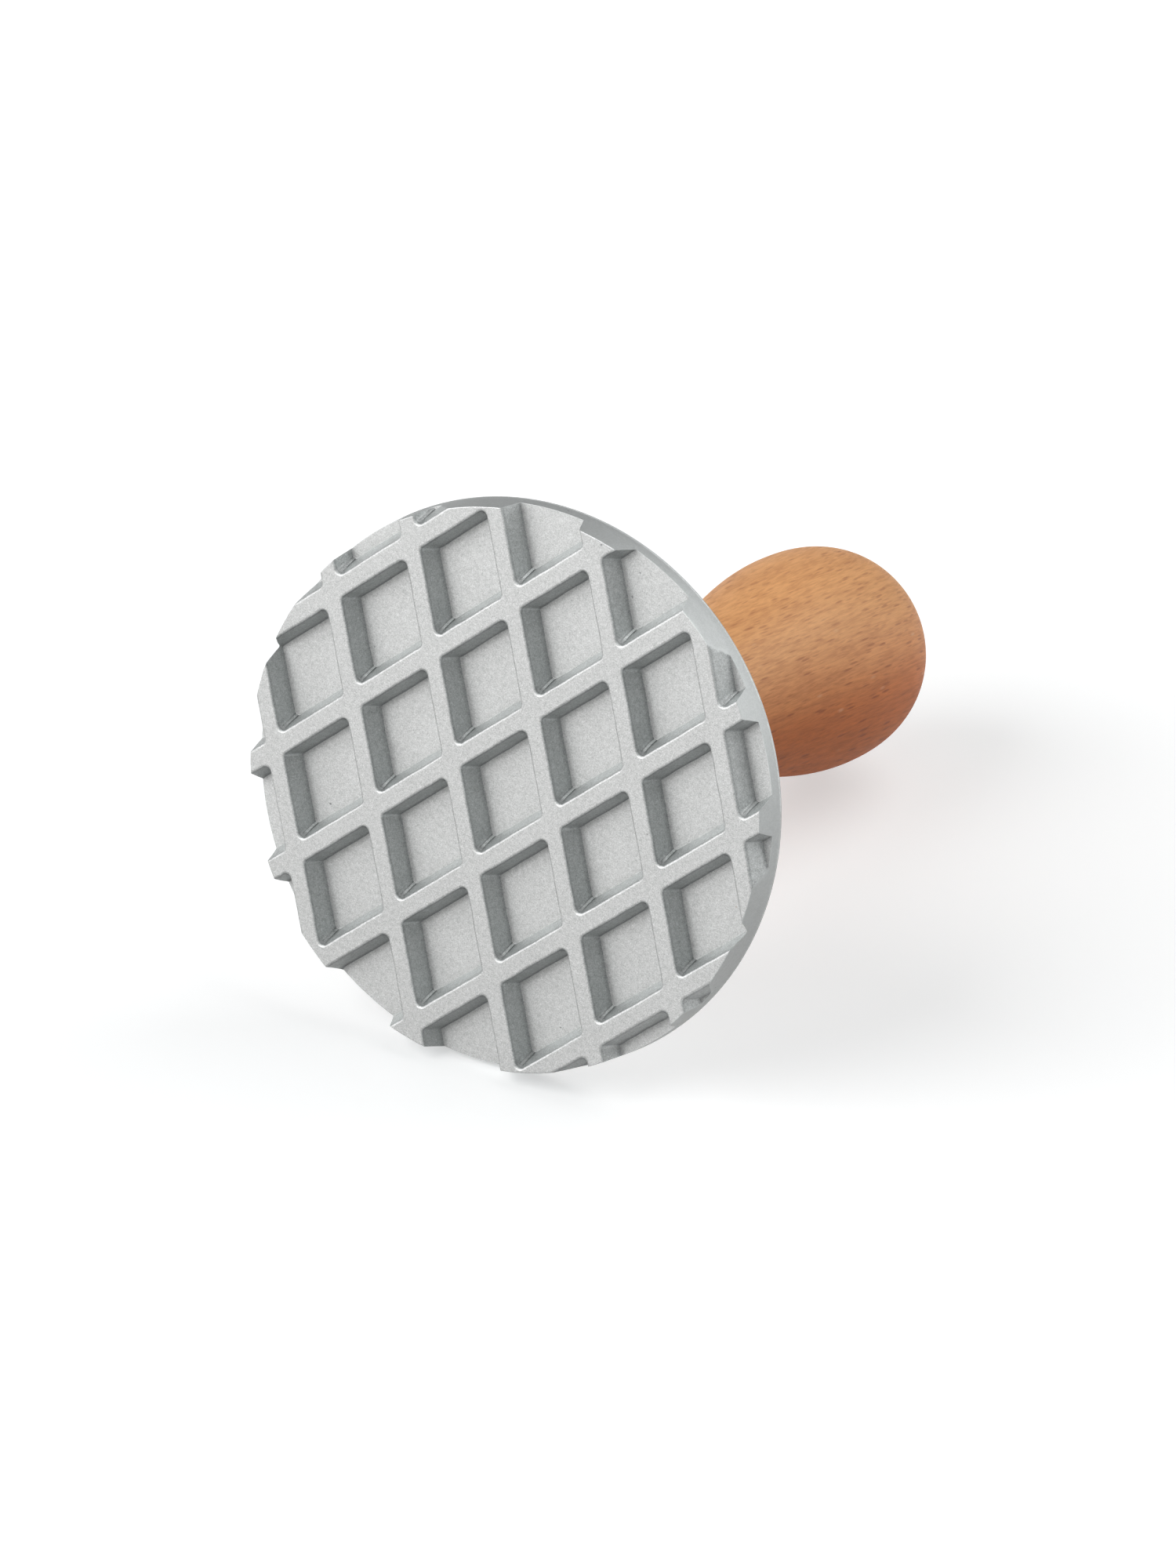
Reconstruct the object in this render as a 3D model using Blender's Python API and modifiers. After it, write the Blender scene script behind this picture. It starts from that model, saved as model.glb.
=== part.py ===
# Cookie stamp with a waffle face: cast aluminium head, turned beech handle.
# The head stands on its stamping face, Z = 0, and the handle points up.
# The handle screws off: a steel stud stays in the head's boss, a brass insert in the handle.

import math

import bmesh
import bpy
from mathutils import Matrix, Vector

mm = 0.001

# Waffle face: a lattice of drafted pockets between two sets of ribs
pitch_left = 14.15 * mm          # rib spacing measured along the ribs that lean left
pitch_right = 14.55 * mm         # rib spacing measured along the ribs that lean right
rib_crossing_angle = math.radians(68.5)
rib_width_left = 2.44 * mm       # top width of the ribs that lean left
rib_width_right = 2.26 * mm      # top width of the ribs that lean right
pocket_depth = 3.40 * mm
pocket_draft = math.radians(18.0)
pocket_corner_radius = 0.80 * mm
pocket_floor_corner_radius = 0.30 * mm
pocket_floor_fillet = 0.35 * mm
corner_steps = 3                 # facets round one pocket corner

# Head
face_radius = 37.65 * mm
rim_flare = 0.35 * mm            # the side widens by this much towards its back edge
web_thickness = 2.50 * mm        # metal between a pocket's floor and the back of the rim
rim_edge_radius = 0.60 * mm
back_rise = 1.60 * mm            # the back climbs this much from the rim to the boss
boss_top_radius = 10.00 * mm
boss_draft = math.radians(8.0)
boss_fillet = 5.00 * mm
boss_edge_radius = 0.50 * mm
head_segments = 96

# Stud, M6 x 1, locked into the head
stud_radius = 3.00 * mm
stud_depth_in_head = 11.50 * mm
thread_engagement = 10.00 * mm   # length of thread that the handle turns on
stud_chamfer = 0.50 * mm
stud_segments = 32

# Threaded insert, pressed flush into the handle's base
insert_wall = 1.50 * mm
insert_overrun = 2.00 * mm       # insert that stays past the end of the stud
flange_width = 1.60 * mm         # the flange stands out from the insert by this much
flange_thickness = 1.20 * mm
insert_segments = 40

# Handle
handle_length = 88.00 * mm
knob_radius = 15.45 * mm
knob_end_length = 17.00 * mm     # from the knob's widest ring to its end
knob_bluntness = 2.30            # 2 is an ellipse, more is squarer
neck_radius = 7.40 * mm
neck_height = 24.00 * mm         # the narrowest ring above the handle's base
base_step = 0.20 * mm            # the base stands in from the boss by this much
base_edge_radius = 0.80 * mm
handle_segments = 56
end_rings = 10
taper_rings = 10
flare_rings = 5

# Facets of a small rounded edge, and of the fillet round the boss
edge_steps = 2
fillet_steps = 5

# Gaps
seat_gap = 0.30 * mm             # between faces that rest on each other
thread_clearance = 0.30 * mm     # round the stud
bore_clearance = 0.30 * mm       # round the insert and its flange

# Heights and sizes that follow from the ones above
rim_radius = face_radius + rim_flare
rim_height = pocket_depth + web_thickness
boss_top = rim_height + seat_gap + stud_depth_in_head
handle_base = boss_top + seat_gap
stud_bottom = boss_top - stud_depth_in_head
stud_top = handle_base + thread_engagement
thread_bore_radius = stud_radius + thread_clearance
insert_radius = thread_bore_radius + insert_wall
insert_length = thread_engagement + insert_overrun
flange_radius = insert_radius + flange_width
base_radius = boss_top_radius - base_step


def arc(center_x, center_z, radius, start, end, steps):
    """Points of an arc in the XZ plane, angles in degrees from +X."""
    points = []
    for step in range(steps + 1):
        angle = math.radians(start + (end - start) * step / steps)
        points.append((center_x + radius * math.cos(angle), center_z + radius * math.sin(angle)))
    return points


def ease(start, end, share):
    """Smooth step from start to end, level at both ends."""
    return start + (end - start) * share * share * (3.0 - 2.0 * share)


def make_material(name, color, metallic, roughness):
    material = bpy.data.materials.new(name)
    material.use_nodes = True
    shader = material.node_tree.nodes["Principled BSDF"]
    shader.inputs["Base Color"].default_value = (*color, 1.0)
    shader.inputs["Metallic"].default_value = metallic
    shader.inputs["Roughness"].default_value = roughness
    return material


def make_profile_object(name, profile, segments, collection):
    """Turn an XZ profile about Z. The profile runs from the axis over the top and down."""
    mesh = bpy.data.meshes.new(name)
    edges = [(index, index + 1) for index in range(len(profile) - 1)]
    mesh.from_pydata([(x, 0.0, z) for x, z in profile], edges, [])
    turned = bpy.data.objects.new(name, mesh)
    collection.objects.link(turned)
    screw = turned.modifiers.new("Turn", "SCREW")
    screw.axis = "Z"
    screw.steps = segments
    screw.render_steps = segments
    screw.use_merge_vertices = True
    screw.merge_threshold = 0.00001
    screw.use_smooth_shade = True
    return turned


def lattice_directions():
    """Unit vectors along the two sets of ribs, mirrored about the Y axis."""
    lean = rib_crossing_angle / 2.0
    left = Vector((-math.sin(lean), math.cos(lean), 0.0))
    right = Vector((math.sin(lean), math.cos(lean), 0.0))
    return left, right


def pocket_ring(inset, corner_radius, height, center):
    """One level of a pocket: a parallelogram with rounded corners, drawn in by inset."""
    left, right = lattice_directions()
    slant = math.sin(rib_crossing_angle)
    half_left = (pitch_left - rib_width_right / slant) / 2.0 - inset / slant
    half_right = (pitch_right - rib_width_left / slant) / 2.0 - inset / slant
    corners = []
    for side_left, side_right in ((-1, -1), (-1, 1), (1, 1), (1, -1)):
        corners.append(left * half_left * side_left + right * half_right * side_right)
    ring = []
    for index, corner in enumerate(corners):
        before = (corners[index - 1] - corner).normalized()
        after = (corners[(index + 1) % 4] - corner).normalized()
        half_angle = before.angle(after) / 2.0
        middle = corner + (before + after).normalized() * corner_radius / math.sin(half_angle)
        start = corner + before * corner_radius / math.tan(half_angle) - middle
        for step in range(corner_steps + 1):
            turn = (math.pi - 2.0 * half_angle) * step / corner_steps
            spoke = Matrix.Rotation(turn, 3, "Z") @ start
            ring.append(center + middle + spoke + Vector((0.0, 0.0, height)))
    return ring


def loft(shape, rings):
    """Close a stack of rings into one solid, first ring to last."""
    levels = [[shape.verts.new(point) for point in ring] for ring in rings]
    shape.faces.new(reversed(levels[0]))
    shape.faces.new(levels[-1])
    for lower, upper in zip(levels, levels[1:]):
        for index in range(len(lower)):
            after = (index + 1) % len(lower)
            shape.faces.new((lower[index], lower[after], upper[after], upper[index]))


def pocket_centers():
    """Centres of every pocket that reaches the face, with one pocket on the axis."""
    left, right = lattice_directions()
    reach = face_radius + max(pitch_left, pitch_right) / 2.0
    count = math.ceil(2.0 * reach / min(pitch_left, pitch_right))
    centers = []
    for row in range(-count, count + 1):
        for column in range(-count, count + 1):
            center = left * pitch_left * row + right * pitch_right * column
            outline = pocket_ring(0.0, pocket_corner_radius, 0.0, center)
            if min(point.length for point in outline) < face_radius:
                centers.append(center)
    return centers


def make_pocket_cutter(collection):
    """All pockets as one cutter: straight below the face, drafted walls, filleted floor."""
    wall_height = pocket_depth - pocket_floor_fillet
    wall_inset = wall_height * math.tan(pocket_draft)
    levels = (
        (0.0, pocket_corner_radius, -pocket_depth),
        (0.0, pocket_corner_radius, 0.0),
        (wall_inset, pocket_floor_corner_radius, wall_height),
        (wall_inset + pocket_floor_fillet, pocket_floor_corner_radius, pocket_depth),
    )
    shape = bmesh.new()
    for center in pocket_centers():
        rings = [pocket_ring(inset, radius, height, center) for inset, radius, height in levels]
        loft(shape, rings)
    bmesh.ops.recalc_face_normals(shape, faces=shape.faces)
    mesh = bpy.data.meshes.new("pocket_cutter")
    shape.to_mesh(mesh)
    shape.free()
    cutter = bpy.data.objects.new("pocket_cutter", mesh)
    cutter.hide_render = True
    cutter.display_type = "WIRE"
    collection.objects.link(cutter)
    return cutter


def head_profile():
    hole_bottom = rim_height
    boss_foot = rim_height + back_rise
    boss_bottom_radius = boss_top_radius + (boss_top - boss_foot) * math.tan(boss_draft)
    fillet_start = 180.0 + math.degrees(boss_draft)
    profile = [(0.0, hole_bottom), (thread_bore_radius, hole_bottom), (thread_bore_radius, boss_top)]
    edge = boss_top_radius - boss_edge_radius
    profile += arc(edge, boss_top - boss_edge_radius, boss_edge_radius, 90.0, 0.0, edge_steps)
    fillet = boss_bottom_radius + boss_fillet
    profile += arc(fillet, boss_foot + boss_fillet, boss_fillet, fillet_start, 270.0, fillet_steps)
    rim_edge = rim_radius - rim_edge_radius
    profile += arc(rim_edge, rim_height - rim_edge_radius, rim_edge_radius, 90.0, 0.0, edge_steps)
    profile.append((face_radius, 0.0))
    return profile


def make_head(collection, cutters):
    """The turned blank gets a flat face over its open bottom, then the waffle is cut."""
    turned = make_profile_object("stamp_head_blank", head_profile(), head_segments, collection)
    evaluated = turned.evaluated_get(bpy.context.evaluated_depsgraph_get())
    shape = bmesh.new()
    shape.from_mesh(evaluated.to_mesh())
    evaluated.to_mesh_clear()
    bpy.data.objects.remove(turned)
    bmesh.ops.holes_fill(shape, edges=shape.edges, sides=0)
    bmesh.ops.recalc_face_normals(shape, faces=shape.faces)
    mesh = bpy.data.meshes.new("stamp_head")
    shape.to_mesh(mesh)
    shape.free()
    head = bpy.data.objects.new("stamp_head", mesh)
    collection.objects.link(head)
    cut = head.modifiers.new("Waffle", "BOOLEAN")
    cut.operation = "DIFFERENCE"
    cut.solver = "EXACT"
    cut.object = make_pocket_cutter(cutters)
    return head


def make_stud(collection):
    """A plain rod of the thread's outer size, chamfered at both ends."""
    edge = stud_radius - stud_chamfer
    profile = [
        (0.0, stud_top),
        (edge, stud_top),
        (stud_radius, stud_top - stud_chamfer),
        (stud_radius, stud_bottom + stud_chamfer),
        (edge, stud_bottom),
        (0.0, stud_bottom),
    ]
    return make_profile_object("stud", profile, stud_segments, collection)


def make_insert(collection):
    """A flanged bush, open at both ends, its flange flush with the handle's base."""
    top = handle_base + insert_length
    shoulder = handle_base + flange_thickness
    profile = [
        (thread_bore_radius, handle_base),
        (thread_bore_radius, top),
        (insert_radius, top),
        (insert_radius, shoulder),
        (flange_radius, shoulder),
        (flange_radius, handle_base),
        (thread_bore_radius, handle_base),
    ]
    return make_profile_object("threaded_insert", profile, insert_segments, collection)


def handle_profile():
    bore = insert_radius + bore_clearance
    bore_top = handle_base + insert_length + seat_gap
    recess = flange_radius + bore_clearance
    recess_top = handle_base + flange_thickness + seat_gap
    widest = handle_base + handle_length - knob_end_length
    neck = handle_base + neck_height
    outside = []
    for step in range(end_rings):
        angle = math.pi / 2.0 * (1.0 - step / end_rings)
        radius = knob_radius * math.cos(angle) ** (2.0 / knob_bluntness)
        outside.append((radius, widest + knob_end_length * math.sin(angle) ** (2.0 / knob_bluntness)))
    outside[0] = (0.0, handle_base + handle_length)
    for step in range(taper_rings):
        share = step / taper_rings
        outside.append((ease(knob_radius, neck_radius, share), widest + (neck - widest) * share))
    foot = handle_base + base_edge_radius
    for step in range(flare_rings):
        share = step / flare_rings
        outside.append((ease(neck_radius, base_radius, share), neck + (foot - neck) * share))
    outside += arc(base_radius - base_edge_radius, foot, base_edge_radius, 0.0, -90.0, edge_steps)
    inside = [(recess, handle_base), (recess, recess_top), (bore, recess_top), (bore, bore_top)]
    return outside + inside + [(0.0, bore_top)]


def make_handle(collection):
    return make_profile_object("handle", handle_profile(), handle_segments, collection)


def main():
    for old in list(bpy.data.objects):
        bpy.data.objects.remove(old)
    parts = bpy.data.collections.new("cookie_stamp")
    cutters = bpy.data.collections.new("cutters")
    bpy.context.scene.collection.children.link(parts)
    bpy.context.scene.collection.children.link(cutters)
    aluminium = make_material("cast_aluminium", (0.60, 0.62, 0.62), 1.0, 0.45)
    steel = make_material("zinc_plated_steel", (0.55, 0.55, 0.54), 1.0, 0.35)
    brass = make_material("brass", (0.72, 0.52, 0.22), 1.0, 0.35)
    beech = make_material("oiled_beech", (0.55, 0.29, 0.13), 0.0, 0.50)
    make_head(parts, cutters).data.materials.append(aluminium)
    make_stud(parts).data.materials.append(steel)
    make_insert(parts).data.materials.append(brass)
    make_handle(parts).data.materials.append(beech)


main()
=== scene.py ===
import math

import bmesh
import bpy
from mathutils import Matrix, Quaternion, Vector


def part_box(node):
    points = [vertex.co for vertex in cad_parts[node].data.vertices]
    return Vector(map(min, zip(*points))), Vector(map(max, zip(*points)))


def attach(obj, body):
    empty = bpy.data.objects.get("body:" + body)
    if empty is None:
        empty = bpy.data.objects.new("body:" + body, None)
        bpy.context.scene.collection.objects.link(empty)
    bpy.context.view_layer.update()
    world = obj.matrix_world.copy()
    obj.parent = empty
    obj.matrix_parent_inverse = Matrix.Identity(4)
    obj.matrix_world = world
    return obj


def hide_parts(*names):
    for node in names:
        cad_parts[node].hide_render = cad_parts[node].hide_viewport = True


mm = 0.001

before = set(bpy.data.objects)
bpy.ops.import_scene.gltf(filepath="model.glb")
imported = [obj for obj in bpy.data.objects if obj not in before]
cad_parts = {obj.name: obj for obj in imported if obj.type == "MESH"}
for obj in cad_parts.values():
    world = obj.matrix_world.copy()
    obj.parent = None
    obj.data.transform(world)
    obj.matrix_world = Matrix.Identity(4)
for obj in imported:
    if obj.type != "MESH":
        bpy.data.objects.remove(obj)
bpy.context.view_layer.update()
print("frame:", ", ".join(sorted(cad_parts)))


def findSocket(sockets, name):
    for socket in sockets:                 # an identifier wins over a name that several sockets share
        if socket.identifier == name:
            return socket
    return sockets[name]


class Wire:
    # a node's output, with which sums are written as expressions
    def __init__(self, board, socket):
        self.board = board
        self.socket = socket

    def __add__(self, other):
        return self.board.sums("ADD", self, other)

    def __radd__(self, other):
        return self.board.sums("ADD", other, self)

    def __sub__(self, other):
        return self.board.sums("SUBTRACT", self, other)

    def __rsub__(self, other):
        return self.board.sums("SUBTRACT", other, self)

    def __mul__(self, other):
        return self.board.sums("MULTIPLY", self, other)

    def __truediv__(self, other):
        return self.board.sums("DIVIDE", self, other)

    def __rtruediv__(self, other):
        return self.board.sums("DIVIDE", other, self)


class Board:
    # a node tree, wired one node at a time
    def __init__(self, tree):
        self.tree = tree

    def node(self, kind, settings=None, sockets=None, out=0):
        made = self.tree.nodes.new(kind)
        for name, value in (settings or {}).items():
            setattr(made, name, value)
        for name, value in (sockets or {}).items():
            self.feed(findSocket(made.inputs, name), value)
        return Wire(self, findSocket(made.outputs, out)) if made.outputs else None

    def feed(self, socket, value):
        if isinstance(value, Wire):
            self.tree.links.new(value.socket, socket)
        elif socket.type == "RGBA":
            socket.default_value = (*value, 1.0)
        else:
            socket.default_value = value

    def sums(self, operation, *terms):
        return self.node("ShaderNodeMath", {"operation": operation}, dict(enumerate(terms)))

    def vectors(self, operation, *terms, out=0):
        return self.node("ShaderNodeVectorMath", {"operation": operation}, dict(enumerate(terms)), out)

    def part(self, vector, axis):
        return self.node("ShaderNodeSeparateXYZ", sockets={0: vector}, out=axis)

    def joined(self, x, y, z):
        return self.node("ShaderNodeCombineXYZ", sockets={0: x, 1: y, 2: z})

    def slope(self, value, low, high):
        # 0 at low and 1 at high, smooth between them
        return self.node("ShaderNodeMapRange", {"interpolation_type": "SMOOTHSTEP"},
                         {"Value": value, "From Min": low, "From Max": high})

    def band(self, value, rise, fall):
        # 1 between a rise and a fall, each given by its start and end
        return self.slope(value, *rise) * (1.0 - self.slope(value, *fall))

    def noise(self, spot, size, detail, roughness):
        # even noise whose features are about size across
        return self.node("ShaderNodeTexNoise",
                         sockets={"Vector": spot, "Scale": 1.0 / size, "Detail": detail,
                                  "Roughness": roughness})

    def strayed(self, spot, size, reach):
        # a level move of up to about the reach, by noise
        noise = self.node("ShaderNodeTexNoise", out="Color",
                          sockets={"Vector": spot, "Scale": 1.0 / size, "Detail": 1.0})
        level = self.vectors("MULTIPLY", self.vectors("SUBTRACT", noise, (0.5, 0.5, 0.5)), (2.0, 2.0, 0.0))
        return self.scaled(level, reach)

    def blend(self, share, first, second):
        return self.node("ShaderNodeMix", {"data_type": "RGBA", "blend_type": "MIX"},
                         {"Factor_Float": share, "A_Color": first, "B_Color": second}, "Result_Color")

    def scaled(self, vector, factor):
        return self.node("ShaderNodeVectorMath", {"operation": "SCALE"},
                         {"Vector": vector, "Scale": factor})

    def spots(self, spot, cell, radius, share, core=0.6):
        # small round spots, in that share of the cells, some strong and some faint, soft outside the core
        near = {"Vector": spot, "Scale": 1.0 / cell, "Randomness": 1.0}
        away = self.node("ShaderNodeTexVoronoi", sockets=near, out="Distance") * cell
        chance = self.part(self.node("ShaderNodeTexVoronoi", sockets=near, out="Color"), "X")
        strength = self.sums("MINIMUM", self.sums("MAXIMUM", (share - chance) * 2.0 / share, 0.0), 1.0)
        return (1.0 - self.slope(away, radius * core, radius * 1.2)) * strength

    def spotInMillimetres(self):
        place = self.node("ShaderNodeTexCoord", out="Object")
        return self.vectors("MULTIPLY", place, (1.0 / mm, 1.0 / mm, 1.0 / mm))

    def fromAxis(self, spot):
        # distance from the Z axis
        return self.vectors("LENGTH", self.vectors("MULTIPLY", spot, (1.0, 1.0, 0.0)), out="Value")

    def isRay(self, kind):
        return self.node("ShaderNodeLightPath", out="Is " + kind + " Ray")

    def bumped(self, height, depth):
        return self.node("ShaderNodeBump", sockets={"Strength": 1.0, "Distance": depth, "Height": height},
                         out="Normal")

    def surface(self, tone, metallic, roughness, normal):
        shader = self.node("ShaderNodeBsdfPrincipled", sockets={
            "Base Color": tone, "Metallic": metallic, "Roughness": roughness, "Normal": normal})
        self.node("ShaderNodeOutputMaterial", sockets={"Surface": shader})


def newMaterial(name):
    material = bpy.data.materials.new(name)
    material.use_nodes = True
    material.node_tree.nodes.clear()
    return material, Board(material.node_tree)


def newTree(name, inputs):
    # a Geometry Nodes tree with named inputs, and a board to wire it on
    tree = bpy.data.node_groups.new(name, "GeometryNodeTree")
    tree.interface.new_socket("Geometry", in_out="INPUT", socket_type="NodeSocketGeometry")
    for label, kind in inputs.items():
        tree.interface.new_socket(label, in_out="INPUT", socket_type=kind)
    tree.interface.new_socket("Geometry", in_out="OUTPUT", socket_type="NodeSocketGeometry")
    board = Board(tree)
    source = tree.nodes.new("NodeGroupInput")
    given = {socket.name: Wire(board, socket) for socket in source.outputs if socket.name}
    return tree, board, given


def closeTree(board, geometry, metal):
    single = board.node("GeometryNodeRealizeInstances", sockets={"Geometry": geometry})
    coated = board.node("GeometryNodeSetMaterial", sockets={"Geometry": single, "Material": metal})
    board.node("NodeGroupOutput", sockets={"Geometry": coated})


def grow(name, start, tree, values):
    # the tree's result on the start mesh, as a plain mesh
    host = bpy.data.objects.new(name + "Host", start)
    bpy.context.scene.collection.objects.link(host)
    modifier = host.modifiers.new("tree", "NODES")
    modifier.node_group = tree
    for item in tree.interface.items_tree:
        if item.in_out == "INPUT" and item.name in values:
            modifier[item.identifier] = values[item.name]
    mesh = bpy.data.meshes.new_from_object(host.evaluated_get(bpy.context.evaluated_depsgraph_get()))
    bpy.data.objects.remove(host)
    return mesh


def arc(centre, radius, start, end, steps):
    # points round a centre in the XZ plane, angles in degrees from +X
    points = []
    for step in range(steps + 1):
        angle = math.radians(start + (end - start) * step / steps)
        points.append((centre[0] + radius * math.cos(angle), centre[1] + radius * math.sin(angle)))
    return points


def turned(name, profile, segments):
    # a closed body turned from a profile of (radius, height) points that starts and ends on the axis,
    # or that closes on itself round a bore
    shape = bmesh.new()
    points = [shape.verts.new((radius, 0.0, height)) for radius, height in profile]
    edges = [shape.edges.new(pair) for pair in zip(points, points[1:])]
    bmesh.ops.spin(shape, geom=points + edges, cent=(0, 0, 0), axis=(0, 0, 1), angle=2.0 * math.pi,
                   steps=segments, use_duplicate=False)
    bmesh.ops.remove_doubles(shape, verts=shape.verts, dist=0.001 * mm)
    bmesh.ops.recalc_face_normals(shape, faces=shape.faces)
    mesh = bpy.data.meshes.new(name)
    shape.to_mesh(mesh)
    shape.free()
    return mesh


def cutBy(mesh, cutter):
    # the mesh less the cutter
    host = bpy.data.objects.new("cutHost", mesh)
    knife = bpy.data.objects.new("cutKnife", cutter)
    for item in (host, knife):
        bpy.context.scene.collection.objects.link(item)
    modifier = host.modifiers.new("cut", "BOOLEAN")
    modifier.object = knife
    modifier.solver = "EXACT"
    result = bpy.data.meshes.new_from_object(host.evaluated_get(bpy.context.evaluated_depsgraph_get()))
    for item in (host, knife):
        bpy.data.objects.remove(item)
    return result


def addPiece(name, mesh, node, body, sharpAngle):
    mesh.set_sharp_from_angle(angle=math.radians(sharpAngle))
    mesh.validate()
    piece = bpy.data.objects.new(name, mesh)
    bpy.context.scene.collection.objects.link(piece)
    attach(piece, body)
    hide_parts(node)
    return piece


# Camera

camera = {
    "focalLength": 180.0,
    "azimuth": 40.305,         # degrees, 0 looks along +Y
    "elevation": -59.239,
    "roll": 66.287,
    "target": Vector((8.78, -4.74, 5.53)) * mm,
    "distance": 1018.76 * mm,
}


def setCamera():
    azimuth = math.radians(camera["azimuth"])
    elevation = math.radians(camera["elevation"])
    back = Vector((math.sin(azimuth) * math.cos(elevation), -math.cos(azimuth) * math.cos(elevation),
                   math.sin(elevation)))
    data = bpy.data.cameras.new("photoCamera")
    data.lens = camera["focalLength"]
    data.clip_start = 0.05
    photoCamera = bpy.data.objects.new("photoCamera", data)
    bpy.context.scene.collection.objects.link(photoCamera)
    turn = Quaternion(back, math.radians(camera["roll"])) @ (-back).to_track_quat("-Z", "Y")
    photoCamera.rotation_mode = "QUATERNION"
    photoCamera.rotation_quaternion = turn
    photoCamera.location = camera["target"] + back * camera["distance"]
    bpy.context.scene.camera = photoCamera
    return turn


photoTurn = setCamera()
print("camera set")


# Head: a turned blank, cut by one punch for each pocket of the waffle

head = {
    "pitchLeft": 14.15 * mm,
    "pitchRight": 14.55 * mm,
    "crossing": math.radians(68.5),
    "ribLeft": 2.44 * mm,
    "ribRight": 2.26 * mm,
    "pocketDepth": 3.40 * mm,
    "draft": math.radians(18.0),
    "cornerRadius": 0.80 * mm,
    "floorCornerRadius": 0.30 * mm,
    "lipRadius": 0.32 * mm,        # worn round edge of the ribs
    "floorFillet": 0.05 * mm,
    "sharpFloorRadius": 0.45 * mm, # at the foot of the two sharp corners of each pocket
    "stripWidth": 0.36 * mm,       # flat strip that stands in those corners
    "stripHeight": 0.12 * mm,
    "stripSides": (-0.60, -0.50, 0.00, 0.50, 0.60), # its points across, in widths; the outer two stay down
    "stripStart": 0.28,            # where it begins, how soon it is at full height and how late it ends,
    "stripRun": 0.15,              # in shares of the pocket's depth
    "stripEnd": 0.04,
    "faceRadius": 37.65 * mm,
    "faceEdge": 0.12 * mm,
    "rimEdge": 0.35 * mm,
    "webThickness": 2.50 * mm,
    "backRise": 1.60 * mm,
    "bossRadius": 10.00 * mm,
    "bossDraft": math.radians(8.0),
    "bossFillet": 5.00 * mm,
    "bossEdge": 0.50 * mm,
    "studGap": 0.30 * mm,
    "wobble": 0.10 * mm,           # how far the cast edges stray
    "wobbleSize": 3.0 * mm,
    "ragged": 0.06 * mm,           # how far the cut edge strays where the side meets the face
    "raggedSize": 0.9 * mm,
    "raggedReach": 0.6 * mm,       # how far in from the cut edge that goes
    "punchReach": 1.00 * mm,       # how far a punch stands out of the face
    "segments": 480,
    "sidePoints": 12,              # points along each straight side of a pocket
    "cornerSteps": 8,
    "lipSteps": 5,
    "wallSteps": 6,
    "filletSteps": 3,
    "bossEdgeSteps": 6,
    "bossFilletSteps": 14,
    "rimEdgeSteps": 8,
    "faceEdgeSteps": 4,
    "sharpAngle": 33.0,
}


def cornerPoints(corner, before, after, radius, rise):
    # a rounded corner of a pocket; with a rise, its middle points make a flat strip that stands up
    half = before.angle(after) / 2.0
    middle = corner + (before + after).normalized() * radius / math.sin(half)
    reach = radius / math.tan(half)
    start = corner + before * reach - middle
    outward = (corner - middle).normalized()
    aside = Vector((-outward.y, outward.x, 0.0))
    sides = head["stripSides"]
    firstStep = (head["cornerSteps"] + 1 - len(sides)) // 2
    points = []
    for step in range(head["cornerSteps"] + 1):
        spoke = Matrix.Rotation((math.pi - 2.0 * half) * step / head["cornerSteps"], 3, "Z") @ start
        place = step - firstStep
        if rise > 0.0 and 0 <= place < len(sides):
            toSide = sides[place] * head["stripWidth"]
            level = math.sqrt(radius ** 2 - toSide ** 2)
            if 0 < place < len(sides) - 1:
                level = math.sqrt(radius ** 2 - (sides[1] * head["stripWidth"]) ** 2) - rise
            spoke = outward * level + aside * toSide
        points.append(middle + spoke)
    return points


def pocketRing(inset, share, height):
    # one closed ring of a pocket's wall; share is 0 at the face and 1 at the floor
    lean = head["crossing"] / 2.0
    left = Vector((-math.sin(lean), math.cos(lean), 0.0))
    right = Vector((math.sin(lean), math.cos(lean), 0.0))
    slant = math.sin(head["crossing"])
    halfLeft = (head["pitchLeft"] - head["ribRight"] / slant) / 2.0 - inset / slant
    halfRight = (head["pitchRight"] - head["ribLeft"] / slant) / 2.0 - inset / slant
    signs = ((-1, -1), (-1, 1), (1, 1), (1, -1))
    corners = [left * halfLeft * a + right * halfRight * b for a, b in signs]
    begun = (share - head["stripStart"]) / head["stripRun"]
    toGo = (1.0 - share) / head["stripEnd"]
    stripRise = head["stripHeight"] * max(0.0, min(1.0, begun, toGo))
    ring = []
    for index, corner in enumerate(corners):
        nextCorner = corners[(index + 1) % 4]
        before = (corners[index - 1] - corner).normalized()
        after = (nextCorner - corner).normalized()
        half = before.angle(after) / 2.0
        sharp = half < math.pi / 4.0
        footRadius = head["sharpFloorRadius"] if sharp else head["floorCornerRadius"]
        radius = head["cornerRadius"] + (footRadius - head["cornerRadius"]) * share - min(inset, 0.0)
        ring += cornerPoints(corner, before, after, radius, stripRise if sharp else 0.0)
        reach = radius / math.tan(half)
        runStart = corner + after * reach
        runEnd = nextCorner - after * radius / math.tan(math.pi / 2.0 - half)
        for step in range(1, head["sidePoints"]):
            ring.append(runStart.lerp(runEnd, step / head["sidePoints"]))
    return [point + Vector((0.0, 0.0, height)) for point in ring]


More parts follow.
